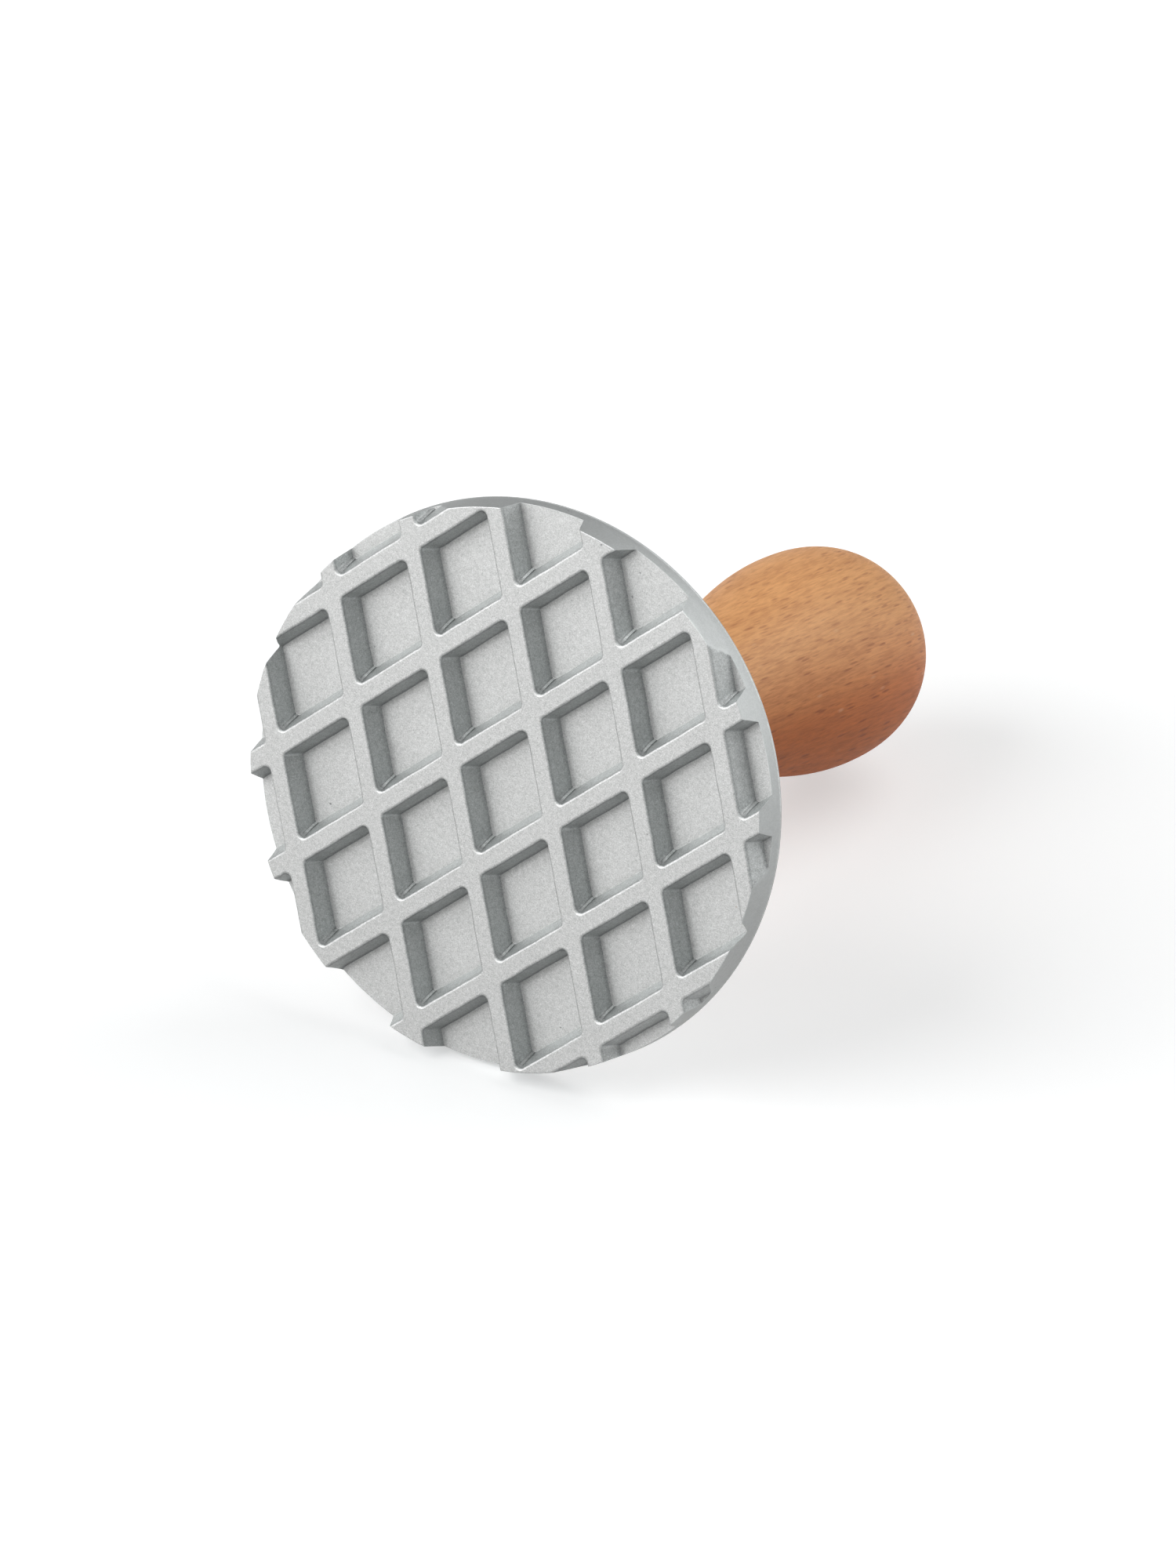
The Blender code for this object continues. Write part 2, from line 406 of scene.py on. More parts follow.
def punchLevels():
    # inset and height of each ring: straight below the face, then a rounded lip, a drafted wall
    # and a filleted floor
    draft = head["draft"]
    depth = head["pocketDepth"]
    lip = head["lipRadius"]
    fillet = head["floorFillet"]
    flare = lip * (1.0 - math.sin(draft)) / math.cos(draft)
    levels = [(-flare, -head["punchReach"])]
    for step in range(head["lipSteps"] + 1):
        angle = (math.pi / 2.0 - draft) * step / head["lipSteps"]
        levels.append((-flare + lip * math.sin(angle), lip * (1.0 - math.cos(angle))))
    top = lip * (1.0 - math.sin(draft))
    foot = depth - fillet * (1.0 - math.sin(draft))
    for step in range(1, head["wallSteps"]):
        height = top + (foot - top) * step / head["wallSteps"]
        levels.append((height * math.tan(draft), height))
    filletInset = (depth - fillet) * math.tan(draft) + fillet / math.cos(draft)
    for step in range(head["filletSteps"] + 1):
        angle = draft + (math.pi / 2.0 - draft) * step / head["filletSteps"]
        levels.append((filletInset - fillet * math.cos(angle), depth - fillet * (1.0 - math.sin(angle))))
    return levels


def pocketPunch():
    shape = bmesh.new()
    rings = []
    for inset, height in punchLevels():
        share = max(0.0, min(1.0, height / head["pocketDepth"]))
        rings.append([shape.verts.new(point) for point in pocketRing(inset, share, height)])
    shape.faces.new(reversed(rings[0]))
    shape.faces.new(rings[-1])
    for lower, upper in zip(rings, rings[1:]):
        for index in range(len(lower)):
            after = (index + 1) % len(lower)
            shape.faces.new((lower[index], lower[after], upper[after], upper[index]))
    bmesh.ops.recalc_face_normals(shape, faces=shape.faces)
    mesh = bpy.data.meshes.new("pocketPunch")
    shape.to_mesh(mesh)
    shape.free()
    punch = bpy.data.objects.new("pocketPunch", mesh)
    bpy.context.scene.collection.objects.link(punch)
    punch.hide_render = True
    return punch


def headBlank():
    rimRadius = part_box("stamp_head")[1].x
    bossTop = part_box("stamp_head")[1].z
    rimHeight = head["pocketDepth"] + head["webThickness"]
    bossFoot = rimHeight + head["backRise"]
    footRadius = head["bossRadius"] + (bossTop - bossFoot) * math.tan(head["bossDraft"])
    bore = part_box("stud")[1].x + head["studGap"]
    bossEdge = head["bossEdge"]
    fillet = head["bossFillet"]
    filletStart = 180.0 + math.degrees(head["bossDraft"])
    rimEdge = head["rimEdge"]
    faceEdge = head["faceEdge"]
    profile = [(0.0, rimHeight), (bore, rimHeight), (bore, bossTop)]
    profile += arc((head["bossRadius"] - bossEdge, bossTop - bossEdge), bossEdge, 90.0, 0.0,
                   head["bossEdgeSteps"])
    profile += arc((footRadius + fillet, bossFoot + fillet), fillet, filletStart, 270.0,
                   head["bossFilletSteps"])
    profile += arc((rimRadius - rimEdge, rimHeight - rimEdge), rimEdge, 90.0, 0.0, head["rimEdgeSteps"])
    flare = (rimRadius - head["faceRadius"]) / (rimHeight - rimEdge)
    # three more rings on the side, the first just past the pocket floors
    for height in (head["pocketDepth"] * 1.06, head["pocketDepth"] * 0.5, faceEdge * 2.0):
        profile.append((head["faceRadius"] + height * flare, height))
    profile += arc((head["faceRadius"] - faceEdge, faceEdge), faceEdge, 0.0, -90.0, head["faceEdgeSteps"])
    profile.append((0.0, 0.0))
    return turned("headBlank", profile, head["segments"])


def latticePoints(board, given):
    # one point for each pocket, on a skewed lattice
    rows = given["Rows"]
    grid = board.node("GeometryNodeMeshGrid", sockets={"Size X": rows - 1, "Size Y": rows - 1,
                                                       "Vertices X": rows, "Vertices Y": rows})
    place = board.node("GeometryNodeInputPosition")
    alongLeft = board.part(place, "Y") * given["Left pitch"]
    alongRight = board.part(place, "X") * given["Right pitch"]
    lean = given["Crossing angle"] / 2.0
    x = (alongRight - alongLeft) * board.sums("SINE", lean)
    y = (alongRight + alongLeft) * board.sums("COSINE", lean)
    lattice = board.node("GeometryNodeSetPosition",
                         sockets={"Geometry": grid, "Position": board.joined(x, y, 0.0)})
    away = board.vectors("LENGTH", board.node("GeometryNodeInputPosition"), out="Value")
    outside = board.sums("GREATER_THAN", away, given["Reach"])
    return board.node("GeometryNodeDeleteGeometry", sockets={"Geometry": lattice, "Selection": outside})


def waffleTree():
    tree, board, given = newTree("wafflePockets", {
        "Left pitch": "NodeSocketFloat",
        "Right pitch": "NodeSocketFloat",
        "Crossing angle": "NodeSocketFloat",
        "Reach": "NodeSocketFloat",
        "Rows": "NodeSocketInt",
        "Punch": "NodeSocketObject",
        "Face radius": "NodeSocketFloat",
        "Depth": "NodeSocketFloat",
        "Wobble": "NodeSocketFloat",
        "Wobble size": "NodeSocketFloat",
        "Ragged": "NodeSocketFloat",
        "Ragged size": "NodeSocketFloat",
        "Ragged reach": "NodeSocketFloat",
        "Metal": "NodeSocketMaterial",
    })
    punch = board.node("GeometryNodeObjectInfo", sockets={"Object": given["Punch"]}, out="Geometry")
    placed = board.node("GeometryNodeInstanceOnPoints",
                        sockets={"Points": latticePoints(board, given), "Instance": punch})
    punches = board.node("GeometryNodeRealizeInstances", sockets={"Geometry": placed})
    # both are moved before the cut, which would otherwise leave cracks in the faces
    spot = board.node("GeometryNodeInputPosition")
    stray = board.strayed(spot, given["Wobble size"], given["Wobble"])
    punches = board.node("GeometryNodeSetPosition", sockets={"Geometry": punches, "Offset": stray})
    edge = board.sums("GREATER_THAN", board.fromAxis(spot), given["Face radius"] - given["Ragged reach"])
    edge = edge * board.sums("LESS_THAN", board.part(spot, "Z"), given["Depth"] * 1.02)
    tear = board.strayed(spot, given["Ragged size"], given["Ragged"] * edge)
    blank = board.node("GeometryNodeSetPosition", sockets={"Geometry": given["Geometry"], "Offset": tear})
    cut = board.node("GeometryNodeMeshBoolean", {"operation": "DIFFERENCE", "solver": "EXACT"},
                     {"Mesh 1": blank, "Mesh 2": punches}, "Mesh")
    closeTree(board, cut, given["Metal"])
    return tree


castMetal = {
    "tone": (0.507, 0.512, 0.508),
    "coolShadeTone": (0.492, 0.510, 0.508),
    "pitTone": (0.16, 0.165, 0.17),
    "speckTone": (0.34, 0.24, 0.17),
    "finishes": {
        "rib": {"level": 0.98, "grain": 0.85, "roughness": 0.52},
        "floor": {"level": 1.01, "grain": 0.75, "roughness": 0.52},
        "wall": {"level": 0.98, "grain": 0.85, "roughness": 0.56},
        "side": {"level": 0.98, "grain": 0.30, "roughness": 0.50},
        "back": {"level": 1.00, "grain": 0.30, "roughness": 0.50},
    },
    # sizes in millimetres
    "sideLean": 0.066,                 # of the disc's side, for each millimetre of height
    "backStart": (5.2, 5.5),
    "grainSize": 0.18,
    "coarseSize": 0.55,
    "broadSize": 5.0,
    "raggedSize": 0.40,
    "grainDepth": 0.006,
    "pit": {"cell": 2.6, "radius": 0.16, "share": 0.35},
    "speck": {"cell": 3.1, "radius": 0.14, "share": 0.5},
    "footShadeReach": (0.20, 1.30),         # from the foot of a wall: full painted shade, no painted shade
    # how strongly the pits and specks take their own tone
    "pitStrength": 0.75,
    "speckStrength": 0.80,
    # where each mark changes: heights from the face, and sides from the middle of a sharp corner
    "underLipShadeHeights": ((0.12, 0.24), (0.34, 0.62)),
    "stripHeight": (0.9, 1.3),
    "stripSide": (0.24, 0.34),
    "shadeLineHeight": (0.5, 0.9),
    "shadeLineSides": ((0.20, 0.32), (0.40, 0.72)),
    "cornerShadeHeights": ((0.10, 0.40), (0.7, 1.5)),
    "cornerShadeSide": (0.5, 1.4),
    # how much darker each mark's painted shade makes the metal, or lighter where it is a painted highlight
    "creaseShade": 0.30,
    "underLipShade": 0.18,
    "shadeLine": 0.28,
    "cornerShade": 0.28,
    "upperWallShade": 0.16,
    "lowerWallGleam": 0.10,
    "stripGleam": 0.18,
    "stripLossAtRim": 0.40,
}


def finishMasks(board, height, centre):
    # where each finish of the casting shows, from the height and the distance from the axis
    depth = head["pocketDepth"] / mm
    rim = head["faceRadius"] / mm
    back = board.slope(height, *castMetal["backStart"])
    side = board.slope(centre - height * castMetal["sideLean"], rim - 0.09, rim - 0.03) * (1.0 - back)
    face = (1.0 - side) * (1.0 - back)
    rib = face * (1.0 - board.slope(height, 0.02, 0.14))
    floor = face * board.slope(height, depth - 0.08, depth - 0.01)
    wall = face * (1.0 - rib) * (1.0 - floor)
    return {"rib": rib, "floor": floor, "wall": wall, "side": side, "back": back}


def mixedFinish(masks, quality):
    total = 0.0
    for name, mask in masks.items():
        total = mask * castMetal["finishes"][name][quality] + total
    return total


def wallMarks(board, spot, height, ragged):
    # what the place in the lattice tells: the painted shade along the foot of the walls, a value that is
    # above 0 in the two sharp corners of each pocket, how unlike the distances to both families of walls
    # are, and where the second family is on its shadier side, which gets more painted shade
    depth = head["pocketDepth"] / mm
    above = depth - height
    slant = math.sin(head["crossing"])
    x = board.part(spot, "X") / (2.0 * math.sin(head["crossing"] / 2.0))
    y = board.part(spot, "Y") / (2.0 * math.cos(head["crossing"] / 2.0))
    families = (
        (y - x, head["pitchLeft"], head["ribRight"], 1.0),
        (y + x, head["pitchRight"], head["ribLeft"], -1.0),
    )
    footShade = 0.0
    corner = 1.0
    unlike = 0.0
    shadierSide = 0.0
    for along, pitch, rib, shadierSign in families:
        steps = along * (mm / pitch)
        offset = steps - board.sums("ROUND", steps)
        half = (pitch * slant - rib) / 2.0 / mm - depth * math.tan(head["draft"])
        toFoot = half - board.sums("ABSOLUTE", offset) * (pitch * slant / mm)
        fromFoot = board.sums("MAXIMUM", toFoot, above) + ragged * 0.6
        # painted shade along the foot of each wall, full on its shadier side and a fifth as strong on the
        # other
        near = 1.0 - board.slope(fromFoot, *castMetal["footShadeReach"])
        shadierSide = board.slope(offset * shadierSign, -0.1, 0.1)
        footShade = board.sums("MAXIMUM", near * (0.20 + shadierSide * 0.80), footShade)
        corner = offset * corner
        unlike = toFoot - unlike
    return footShade, corner, unlike, shadierSide


def pocketMarks(board, spot, height, centre, masks):
    # how much lighter or darker than plain the pockets are at each place
    rim = head["faceRadius"] / mm
    wall = masks["wall"]
    ragged = board.noise(spot, castMetal["raggedSize"], 2.0, 0.6)
    footShade, corner, unlike, shadierSide = wallMarks(board, spot, height, ragged)
    # painted shade on the upper walls, of the second family, and a painted highlight on the lower ones
    second = wall * board.slope(unlike, 0.1, -0.3)
    gleam = castMetal["lowerWallGleam"]
    wallLightAndShade = second * (shadierSide * (castMetal["upperWallShade"] + gleam) - gleam)
    # in the two sharp corners, where both distances are alike, a painted bright strip between painted dark
    # shade lines
    unlike = board.sums("ABSOLUTE", unlike) + (ragged - 0.5) * 0.2
    nook = wall * board.sums("GREATER_THAN", corner, 0.0)
    onStrip = 1.0 - board.slope(unlike, *castMetal["stripSide"])
    stripHighlight = nook * board.slope(height, *castMetal["stripHeight"]) * onStrip
    # near the rim the strip's painted highlight turns to painted shade
    nearRim = board.slope(centre, rim - 7.0, rim - 3.0)
    # painted dark shade lines on either side of the strip in the sharp corners
    shadeLine = board.slope(height, *castMetal["shadeLineHeight"]) * board.band(unlike, *castMetal["shadeLineSides"])
    # painted shade in the middle of the sharp corners, below the lip
    nearMiddle = 1.0 - board.slope(unlike, *castMetal["cornerShadeSide"])
    cornerShade = board.band(height, *castMetal["cornerShadeHeights"]) * nearMiddle
    # painted shade along the feet of the walls, on walls and floors, but not on the strip
    creaseShade = (wall + masks["floor"]) * footShade * (1.0 - stripHighlight)
    # painted shade just under the lip of each wall
    underLipShade = wall * board.band(height, *castMetal["underLipShadeHeights"])
    return (1.0 - creaseShade * castMetal["creaseShade"] - underLipShade * castMetal["underLipShade"]
            - nook * shadeLine * castMetal["shadeLine"] - nook * cornerShade * castMetal["cornerShade"] - wallLightAndShade
            + stripHighlight * (castMetal["stripGleam"] - nearRim * castMetal["stripLossAtRim"]))


def castAluminium():
    material, board = newMaterial("castAluminium")
    spot = board.spotInMillimetres()
    height = board.part(spot, "Z")
    centre = board.fromAxis(spot)
    rim = head["faceRadius"] / mm
    masks = finishMasks(board, height, centre)
    fine = board.noise(spot, castMetal["grainSize"], 2.0, 0.7)
    coarse = board.noise(spot, castMetal["coarseSize"], 2.0, 0.5)
    grain = fine * 0.75 + coarse * 0.25
    broad = board.noise(spot, castMetal["broadSize"], 2.0, 0.5)
    contrast = mixedFinish(masks, "grain")
    level = mixedFinish(masks, "level") * (1.0 + contrast * (grain - 0.5) * 2.0 + (broad - 0.5) * 0.10)
    level = level * pocketMarks(board, spot, height, centre, masks)
    # walls, side and back take a cooler tone, a painted cool shade; ribs and floors the plain tone
    tone = board.blend(masks["rib"] + masks["floor"], castMetal["coolShadeTone"], castMetal["tone"])
    tone = board.scaled(tone, level)
    pit = board.spots(spot, **castMetal["pit"]) * (masks["floor"] + masks["rib"] + masks["side"])
    speck = board.spots(spot, **castMetal["speck"]) * board.slope(centre, rim - 5.0, rim - 1.0)
    speck = speck * (1.0 - masks["back"])
    tone = board.blend(pit * castMetal["pitStrength"], tone, castMetal["pitTone"])
    tone = board.blend(speck * castMetal["speckStrength"], tone, castMetal["speckTone"])
    normal = board.bumped(grain * (contrast * 2.0) - pit * 4.0, castMetal["grainDepth"] * mm)
    roughness = mixedFinish(masks, "roughness") + (fine - 0.5) * 0.16
    board.surface(tone, 1.0, roughness, normal)
    return material


def makeHead():
    punch = pocketPunch()
    # a pocket reaches less than 0.7 of a pitch from its middle
    reach = head["faceRadius"] + max(head["pitchLeft"], head["pitchRight"]) * 0.7
    rows = 2 * math.ceil(reach / min(head["pitchLeft"], head["pitchRight"])) + 3
    mesh = grow("waffleHead", headBlank(), waffleTree(), {
        "Left pitch": head["pitchLeft"],
        "Right pitch": head["pitchRight"],
        "Crossing angle": head["crossing"],
        "Reach": reach,
        "Rows": rows,
        "Punch": punch,
        "Face radius": head["faceRadius"],
        "Depth": head["pocketDepth"],
        "Wobble": head["wobble"],
        "Wobble size": head["wobbleSize"],
        "Ragged": head["ragged"],
        "Ragged size": head["raggedSize"],
        "Ragged reach": head["raggedReach"],
        "Metal": castAluminium(),
    })
    bpy.data.objects.remove(punch)
    piece = addPiece("waffleHead", mesh, "stamp_head", "head", head["sharpAngle"])
    for face in mesh.polygons:             # the level faces stay flat, so that the lips don't shade them
        face.use_smooth = abs(face.normal.z) < 0.9999
    return piece


waffleHead = makeHead()
print("head cut:", len(waffleHead.data.polygons), "faces")


# Handle, and the insert that sits in it

insert = {
    "tone": (0.72, 0.50, 0.22),
    "roughness": 0.28,
    "wall": 1.50 * mm,
    "flangeWidth": 1.60 * mm,
    "flangeThickness": 1.20 * mm,
    "leadIn": 0.65 * mm,           # of the bore's mouth
    "edge": 0.20 * mm,
    "segments": 96,
    "sharpAngle": 30.0,
}
handle = {
    "knobRadius": 15.45 * mm,
    "knobEnd": 17.00 * mm,
    "bluntness": 2.68,
    "neckRadius": 7.40 * mm,
    "neckHeight": 24.00 * mm,
    "baseRadius": 9.80 * mm,
    "baseEdge": 0.80 * mm,
    "insertGap": 0.30 * mm,
    "segments": 144,
    "endRings": 36,
    "taperRings": 48,
    "flareRings": 18,
    "baseEdgeSteps": 6,
    "sharpAngle": 40.0,
}


def eased(start, end, share):
    return start + (end - start) * share * share * (3.0 - 2.0 * share)


def handleProfile():
    low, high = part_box("handle")
    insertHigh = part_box("threaded_insert")[1]
    flangeRadius = insertHigh.x
    insertRadius = flangeRadius - insert["flangeWidth"]
    widest = high.z - handle["knobEnd"]
    neck = low.z + handle["neckHeight"]
    foot = low.z + handle["baseEdge"]
    power = 2.0 / handle["bluntness"]
    profile = [(0.0, high.z)]
    for step in range(1, handle["endRings"]):
        angle = math.pi / 2.0 * (1.0 - step / handle["endRings"])
        profile.append((handle["knobRadius"] * math.cos(angle) ** power,
                        widest + handle["knobEnd"] * math.sin(angle) ** power))
    for step in range(handle["taperRings"]):
        share = step / handle["taperRings"]
        radius = eased(handle["knobRadius"], handle["neckRadius"], share)
        profile.append((radius, widest + (neck - widest) * share))
    for step in range(handle["flareRings"]):
        share = step / handle["flareRings"]
        radius = eased(handle["neckRadius"], handle["baseRadius"], share)
        profile.append((radius, neck + (foot - neck) * share))
    profile += arc((handle["baseRadius"] - handle["baseEdge"], foot), handle["baseEdge"], 0.0, -90.0,
                   handle["baseEdgeSteps"])
    recess = flangeRadius + handle["insertGap"]
    bore = insertRadius + handle["insertGap"]
    shoulder = low.z + insert["flangeThickness"] + handle["insertGap"]
    end = insertHigh.z + handle["insertGap"]
    profile += [(recess, low.z), (recess, shoulder), (bore, shoulder), (bore, end), (0.0, end)]
    return profile


beechLook = {
    "goldenTone": (0.842, 0.428, 0.170),
    "redShadedTone": (0.655, 0.176, 0.034),
    "lateTone": (0.360, 0.105, 0.030),
    "fleckTone": (0.300, 0.075, 0.022),
    "dentTone": (0.820, 0.560, 0.360),
    "roughness": 0.42,
    "ringTurn": math.radians(-119.0),   # the way the tone turns from red to golden, about the axis; the red side, towards the floor, is partly painted shade
    "rayTurn": math.radians(-50.0),     # away from the heart of the tree, about the axis
    # sizes in millimetres
    "ringWidth": 3.2,
    "goldenReach": (-5.0, 12.0),        # all red, all golden
    "bumpDepth": 0.02,
    # a pattern that is shrunk outward or along the grain comes out longer there
    "wander": {"size": 6.0, "outward": 1.00, "along": 0.07, "detail": 2.0, "roughness": 0.5},
    "fibre": {"size": 0.13, "outward": 0.30, "along": 0.05, "detail": 2.0, "roughness": 0.6},
    "streak": {"size": 0.34, "outward": 0.25, "along": 0.09, "detail": 3.0, "roughness": 0.6},
    "patch": {"size": 1.5, "outward": 0.50, "along": 0.12, "detail": 3.0, "roughness": 0.6},
    "faint": {"cell": 0.44, "radius": 0.1224, "outward": 0.12, "along": 0.14, "share": 1.0, "core": 0.30},
    "fleck": {"cell": 0.60, "radius": 0.17, "outward": 0.30, "along": 0.14, "share": 0.9, "core": 0.45},
    "dent": {"cell": 2.6, "radius": 0.30, "outward": 0.60, "along": 0.35, "share": 0.5, "core": 0.10},
}


def oiledBeech():
    material, board = newMaterial("oiledBeech")
    spot = board.spotInMillimetres()
    x = board.part(spot, "X")
    y = board.part(spot, "Y")
    along = board.part(spot, "Z")
    turn = beechLook["ringTurn"]
    across = x * math.cos(turn) + y * math.sin(turn)
    turn = beechLook["rayTurn"]
    outward = x * math.cos(turn) + y * math.sin(turn)
    sideways = y * math.cos(turn) - x * math.sin(turn)

    def drawnOut(look):
        return board.joined(sideways, outward * look["outward"], along * look["along"])

    def noise(name):
        look = beechLook[name]
        return board.noise(drawnOut(look), look["size"], look["detail"], look["roughness"])

    def spots(name):
        look = beechLook[name]
        return board.spots(drawnOut(look), look["cell"], look["radius"], look["share"], look["core"])

    wander = noise("wander")
    fibre = noise("fibre")
    streak = noise("streak")
    patch = noise("patch")
    # golden on the side away from the floor and darker red towards it: partly the wood's own tone, partly
    # painted shade
    litGolden = board.slope(across + wander * 6.0, *beechLook["goldenReach"])
    tone = board.blend(litGolden, beechLook["redShadedTone"], beechLook["goldenTone"])
    # late wood closes each ring, and fibres, streaks and patches darken it on a smaller scale
    ring = board.sums("FRACT", (across + wander * 3.0) / beechLook["ringWidth"])
    late = board.band(ring, (0.25, 0.85), (0.88, 1.0))
    darkness = (late * 0.12 + board.slope(fibre, 0.25, 0.75) * 0.26 + board.slope(streak, 0.38, 0.64) * 0.34
                + board.slope(patch, 0.36, 0.70) * 0.18 - 0.02)
    tone = board.blend(darkness * (0.90 - litGolden * 0.25), tone, beechLook["lateTone"])
    # rays, which are paler from their flat side than edge on
    tone = board.blend(spots("faint") * 0.35, tone, beechLook["fleckTone"])
    fleck = spots("fleck")
    flat = board.sums("POWER", board.sums("ABSOLUTE", sideways) / (board.fromAxis(spot) + 0.1), 2.0)
    tone = board.blend(fleck * (0.85 - litGolden * 0.42) * (1.0 - flat * 0.25), tone, beechLook["fleckTone"])
    dent = spots("dent") * board.slope(patch, 0.35, 0.55)
    tone = board.blend(dent * 0.40, tone, beechLook["dentTone"])
    normal = board.bumped(fibre * 0.6 - fleck - dent, beechLook["bumpDepth"] * mm)
    board.surface(tone, 0.0, streak * 0.16 + beechLook["roughness"], normal)
    return material


# Stud and insert, with a real M6 thread

stud = {
    "tone": (0.60, 0.60, 0.58),
    "roughness": 0.30,
    "sharpAngle": 50.0,
}
thread = {
    "pitch": 1.00 * mm,
    "depth": 0.61 * mm,
    "chamfer": 0.50 * mm,
    "around": 40,
    "rowsPerTurn": 12,
}


def threadTree():
    tree, board, given = newTree("screwThread", {
        "Radius": "NodeSocketFloat",
        "Depth": "NodeSocketFloat",
        "Pitch": "NodeSocketFloat",
        "Bottom": "NodeSocketFloat",
        "Top": "NodeSocketFloat",
        "Chamfer": "NodeSocketFloat",
        "Around": "NodeSocketInt",
        "Rows": "NodeSocketInt",
        "Metal": "NodeSocketMaterial",
    })
    grid = board.node("GeometryNodeMeshGrid", sockets={"Size X": 1.0, "Size Y": 1.0,
                                                       "Vertices X": given["Around"] + 1,
                                                       "Vertices Y": given["Rows"] + 3})
    place = board.node("GeometryNodeInputPosition")
    turn = board.part(place, "X") + 0.5
    row = (board.part(place, "Y") + 0.5) * (given["Rows"] + 2)
    share = board.node("ShaderNodeClamp", sockets={"Value": (row - 1.0) / given["Rows"]})
    height = given["Bottom"] + share * (given["Top"] - given["Bottom"])
    # the 100 keeps the phase above 0; a quarter of the pitch is flat root and an eighth flat crest
    phase = board.sums("FRACT", height / given["Pitch"] - turn + 100.0)
    wave = board.sums("ABSOLUTE", phase * 2.0 - 1.0)
    ridge = board.node("ShaderNodeMapRange", sockets={"Value": wave, "From Min": 0.25, "From Max": 0.875})
    radius = given["Radius"] - given["Depth"] * (1.0 - ridge)
    toEnd = board.sums("MINIMUM", height - given["Bottom"], given["Top"] - height)
    radius = board.sums("MINIMUM", radius, given["Radius"] - given["Chamfer"] + toEnd)
    capped = board.sums("GREATER_THAN", row, 0.5) * board.sums("LESS_THAN", row, given["Rows"] + 1.5)
    radius = radius * capped
    angle = turn * (2.0 * math.pi)
    rod = board.node("GeometryNodeSetPosition", sockets={
        "Geometry": grid,
        "Position": board.joined(radius * board.sums("COSINE", angle), radius * board.sums("SINE", angle),
                                 height)})
    closed = board.node("GeometryNodeMergeByDistance", sockets={"Geometry": rod, "Distance": 0.0005 * mm})
    closeTree(board, closed, given["Metal"])
    return tree


def threadedRod(name, tree, radius, bottom, top, chamfer, metal):
    rows = round((top - bottom) / thread["pitch"] * thread["rowsPerTurn"])
    mesh = grow(name, bpy.data.meshes.new(name + "Start"), tree, {
        "Radius": radius,
        "Depth": thread["depth"],
        "Pitch": thread["pitch"],
        "Bottom": bottom,
        "Top": top,
        "Chamfer": chamfer,
        "Around": thread["around"],
        "Rows": rows,
        "Metal": metal,
    })
    shape = bmesh.new()
    shape.from_mesh(mesh)
    bmesh.ops.recalc_face_normals(shape, faces=shape.faces)
    shape.to_mesh(mesh)
    shape.free()
    mesh.shade_smooth()
    return mesh


satin = {
    "grainSize": 0.3,              # millimetres
    "grainDepth": 0.004 * mm,
    "darker": 0.9,
}


def satinMetal(name, tone, roughness):
    material, board = newMaterial(name)
    spot = board.spotInMillimetres()
    fine = board.noise(spot, satin["grainSize"], 3.0, 0.6)
    darker = [channel * satin["darker"] for channel in tone]
    normal = board.bumped(fine, satin["grainDepth"])
    board.surface(board.blend(fine, darker, tone), 1.0, fine * 0.2 + roughness, normal)
    return material


def makeHandle():
    mesh = turned("turnedHandle", handleProfile(), handle["segments"])
    mesh.materials.append(oiledBeech())
    mesh.shade_smooth()
    return addPiece("turnedHandle", mesh, "handle", "handle", handle["sharpAngle"])


def makeStud(tree):
    low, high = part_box("stud")
    metal = satinMetal("platedSteel", stud["tone"], stud["roughness"])
    mesh = threadedRod("threadedStud", tree, high.x, low.z, high.z, thread["chamfer"], metal)
    return addPiece("threadedStud", mesh, "stud", "head", stud["sharpAngle"])


def makeInsert(tree):
    low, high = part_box("threaded_insert")
    bore = high.x - insert["flangeWidth"] - insert["wall"]
    outer = bore + insert["wall"]
    shoulder = low.z + insert["flangeThickness"]
    leadIn = insert["leadIn"]
    edge = insert["edge"]
    profile = [(bore + leadIn, low.z), (bore, low.z + leadIn), (bore, high.z - leadIn),
               (bore + leadIn, high.z), (outer - edge, high.z), (outer, high.z - edge), (outer, shoulder),
               (high.x - edge, shoulder), (high.x, shoulder - edge), (high.x, low.z + edge),
               (high.x - edge, low.z), (bore + leadIn, low.z)]
    metal = satinMetal("turnedBrass", insert["tone"], insert["roughness"])
    body = turned("brassInsert", profile, insert["segments"])
    body.materials.append(metal)
    grooves = threadedRod("insertGrooves", tree, bore + thread["depth"], low.z - thread["pitch"],
                          high.z + thread["pitch"], 0.0, metal)
    mesh = cutBy(body, grooves)
    mesh.shade_smooth()
    return addPiece("brassInsert", mesh, "threaded_insert", "insert", insert["sharpAngle"])


turnedHandle = makeHandle()
screwThread = threadTree()
threadedStud = makeStud(screwThread)
brassInsert = makeInsert(screwThread)
print("handle, stud and insert made")


# Floor, world and lamps

floorLook = {
    "tilt": math.radians(12.0),        # of the stamp's axis above the floor, clear of the raised knob
    "contactTurn": math.radians(75.5), # where the rim meets it, about the axis
    "gap": 0.15 * mm,
    "radius": 500.0 * mm,
    "sides": 96,
    "tone": (0.70, 0.70, 0.70),
    "mirroredTone": (0.95, 0.95, 0.95),
    "shownTone": (0.668, 0.671, 0.672), # as the camera sees it
    "nearLift": (0.460, 0.467, 0.469),  # plain light added for the camera, near the stamp
    "farLift": (0.570, 0.570, 0.570),   # and far from it
    "nearReach": 115.0 * mm,
    "farReach": 210.0 * mm,
}


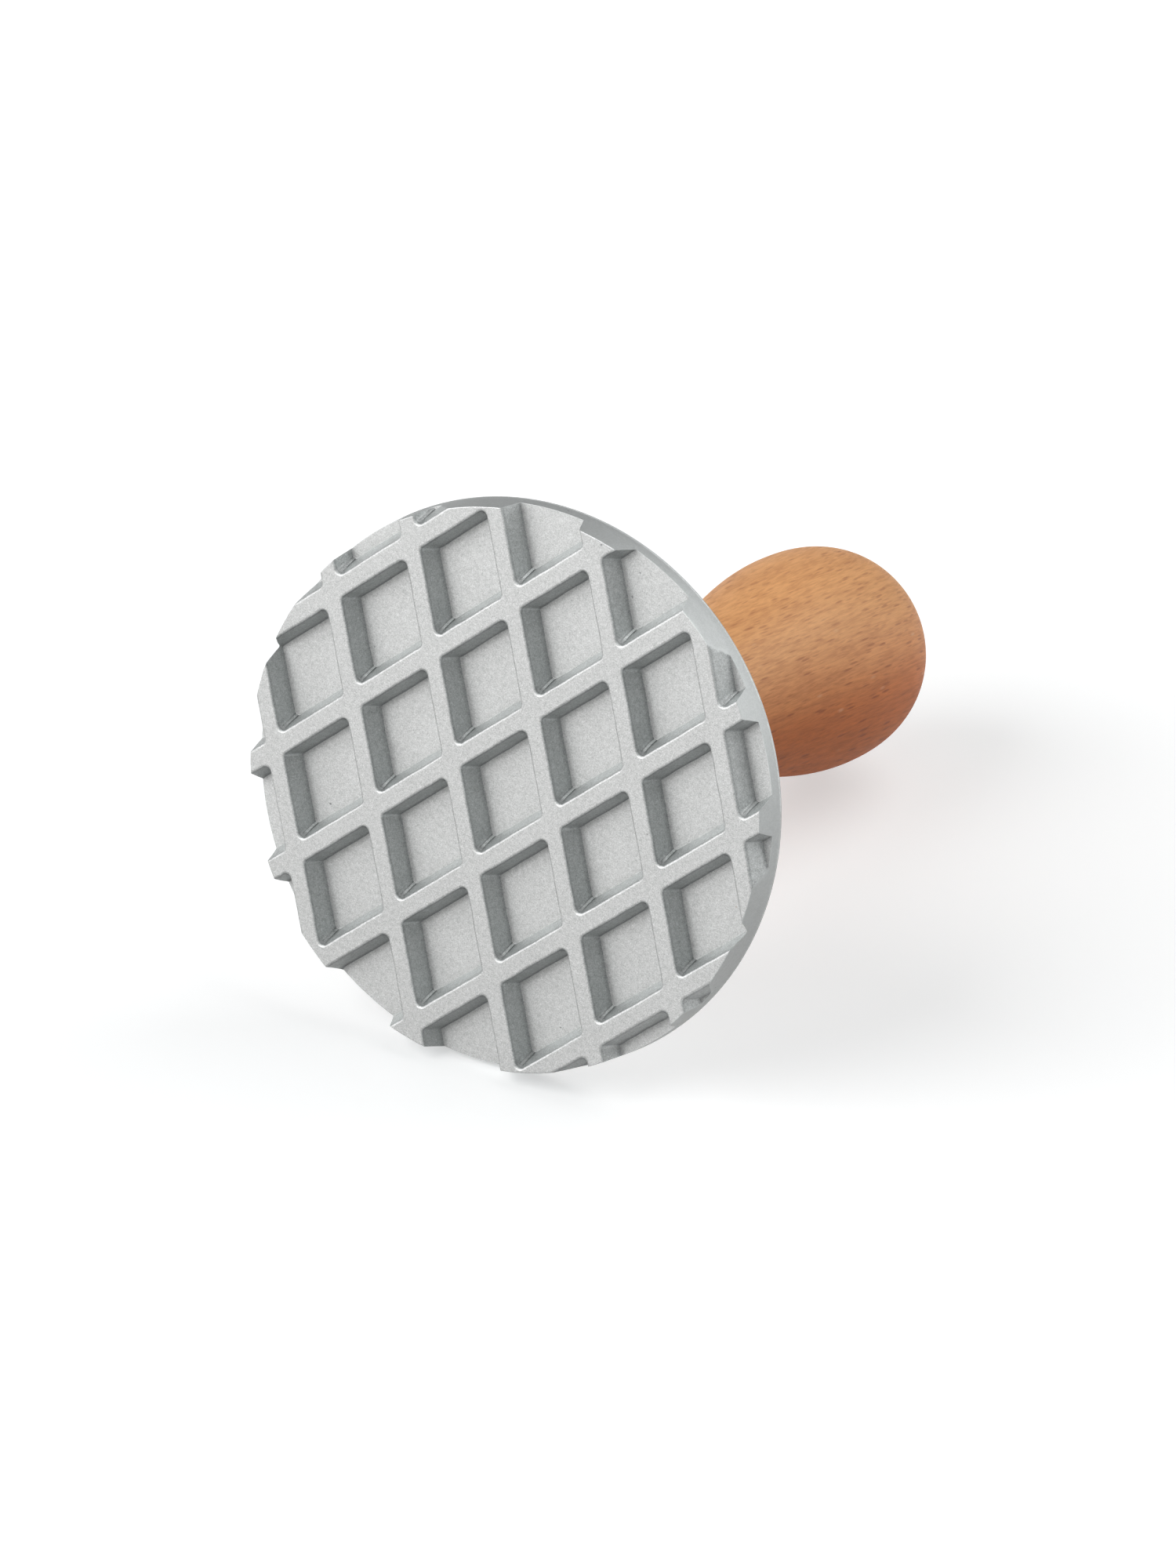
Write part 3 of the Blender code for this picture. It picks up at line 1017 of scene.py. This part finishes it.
def makeFloor():
    tilt = floorLook["tilt"]
    turn = floorLook["contactTurn"]
    outward = Vector((math.cos(turn) * math.cos(tilt), math.sin(turn) * math.cos(tilt), math.sin(tilt)))
    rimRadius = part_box("stamp_head")[1].x
    rimHeight = head["pocketDepth"] + head["webThickness"] - head["rimEdge"]
    depth = rimRadius * math.cos(tilt) + (rimHeight + head["rimEdge"] * math.sin(tilt)) * math.sin(tilt)
    bpy.ops.mesh.primitive_circle_add(vertices=floorLook["sides"], radius=floorLook["radius"],
                                      fill_type="NGON")
    floor = bpy.context.active_object
    floor.name = "paleFloor"
    floor.rotation_mode = "QUATERNION"
    floor.rotation_quaternion = (-outward).to_track_quat("Z", "Y")
    floor.location = outward * (depth + floorLook["gap"])
    material, board = newMaterial("paleFloor")
    shown = board.isRay("Camera")
    mirrored = board.isRay("Glossy")
    tone = board.blend(mirrored, floorLook["tone"], floorLook["mirroredTone"])
    tone = board.blend(shown, tone, floorLook["shownTone"])
    paper = board.node("ShaderNodeBsdfDiffuse", sockets={"Color": tone})
    away = board.vectors("LENGTH", board.node("ShaderNodeTexCoord", out="Object"), out="Value")
    far = board.slope(away, floorLook["nearReach"], floorLook["farReach"])
    lift = board.blend(far, floorLook["nearLift"], floorLook["farLift"])
    lift = board.blend(shown, (0.0, 0.0, 0.0), lift)
    white = board.node("ShaderNodeEmission", sockets={"Color": lift})
    lifted = board.node("ShaderNodeAddShader", sockets={0: paper, 1: white})
    clear = board.node("ShaderNodeBsdfTransparent")
    behind = board.node("ShaderNodeNewGeometry", out="Backfacing")
    shader = board.node("ShaderNodeMixShader", sockets={0: behind, 1: lifted, 2: clear})
    board.node("ShaderNodeOutputMaterial", sockets={"Surface": shader})
    floor.data.materials.append(material)
    return floor


worldLook = {
    "ambient": 0.12,
    # how bright the room is that the metal mirrors, by direction: right, up and to the camera
    "room": {
        (1, 0, 0): 0.44,
        (-1, 0, 0): 1.00,
        (0, 1, 0): 0.48,
        (0, -1, 0): 0.40,
        (0, 0, 1): 0.95,
        (0, 0, -1): 0.40,
    },
}


def makeWorld():
    world = bpy.data.worlds.new("paleRoom")
    world.use_nodes = True
    world.node_tree.nodes.clear()
    board = Board(world.node_tree)
    mirrored = board.isRay("Glossy")
    seen = board.sums("MAXIMUM", board.isRay("Camera"), board.isRay("Transmission"))
    toward = board.node("ShaderNodeTexCoord", out="Generated")
    room = 0.0
    for side, level in worldLook["room"].items():
        facing = board.vectors("DOT_PRODUCT", toward, photoTurn @ Vector(side), out="Value")
        room = board.sums("POWER", board.sums("MAXIMUM", facing, 0.0), 2.0) * level + room
    ambient = worldLook["ambient"] + mirrored * (room - worldLook["ambient"])
    strength = ambient + seen * (1.0 - ambient)
    shader = board.node("ShaderNodeBackground", sockets={"Color": (1.0, 1.0, 1.0), "Strength": strength})
    board.node("ShaderNodeOutputWorld", sockets={"Surface": shader})
    bpy.context.scene.world = world


lampLook = {
    "away": 1.20,                      # metres
    "size": 1.10,
    # towards each lamp, as the photograph shows it: right, up and to the camera; and its watts
    "lamps": {
        "frontLamp": ((-0.72, 0.38, 0.58), 12.4),
        "topLamp": ((0.55, 0.80, 0.25), 6.5),
        "rightLamp": ((0.95, 0.10, -0.30), 1.75),
        "backLamp": ((0.88, 0.45, -0.10), 1.8),
    },
}


def makeLamps():
    for name, (direction, power) in lampLook["lamps"].items():
        data = bpy.data.lights.new(name, "AREA")
        data.shape = "DISK"
        data.size = lampLook["size"]
        data.energy = power
        lamp = bpy.data.objects.new(name, data)
        bpy.context.scene.collection.objects.link(lamp)
        toward = (photoTurn @ Vector(direction)).normalized()
        lamp.location = camera["target"] + toward * lampLook["away"]
        lamp.rotation_mode = "QUATERNION"
        lamp.rotation_quaternion = (-toward).to_track_quat("-Z", "Y")
        lamp.visible_camera = False


makeFloor()
makeWorld()
makeLamps()
bpy.context.scene.view_settings.view_transform = "Standard"
print("stage and light set")
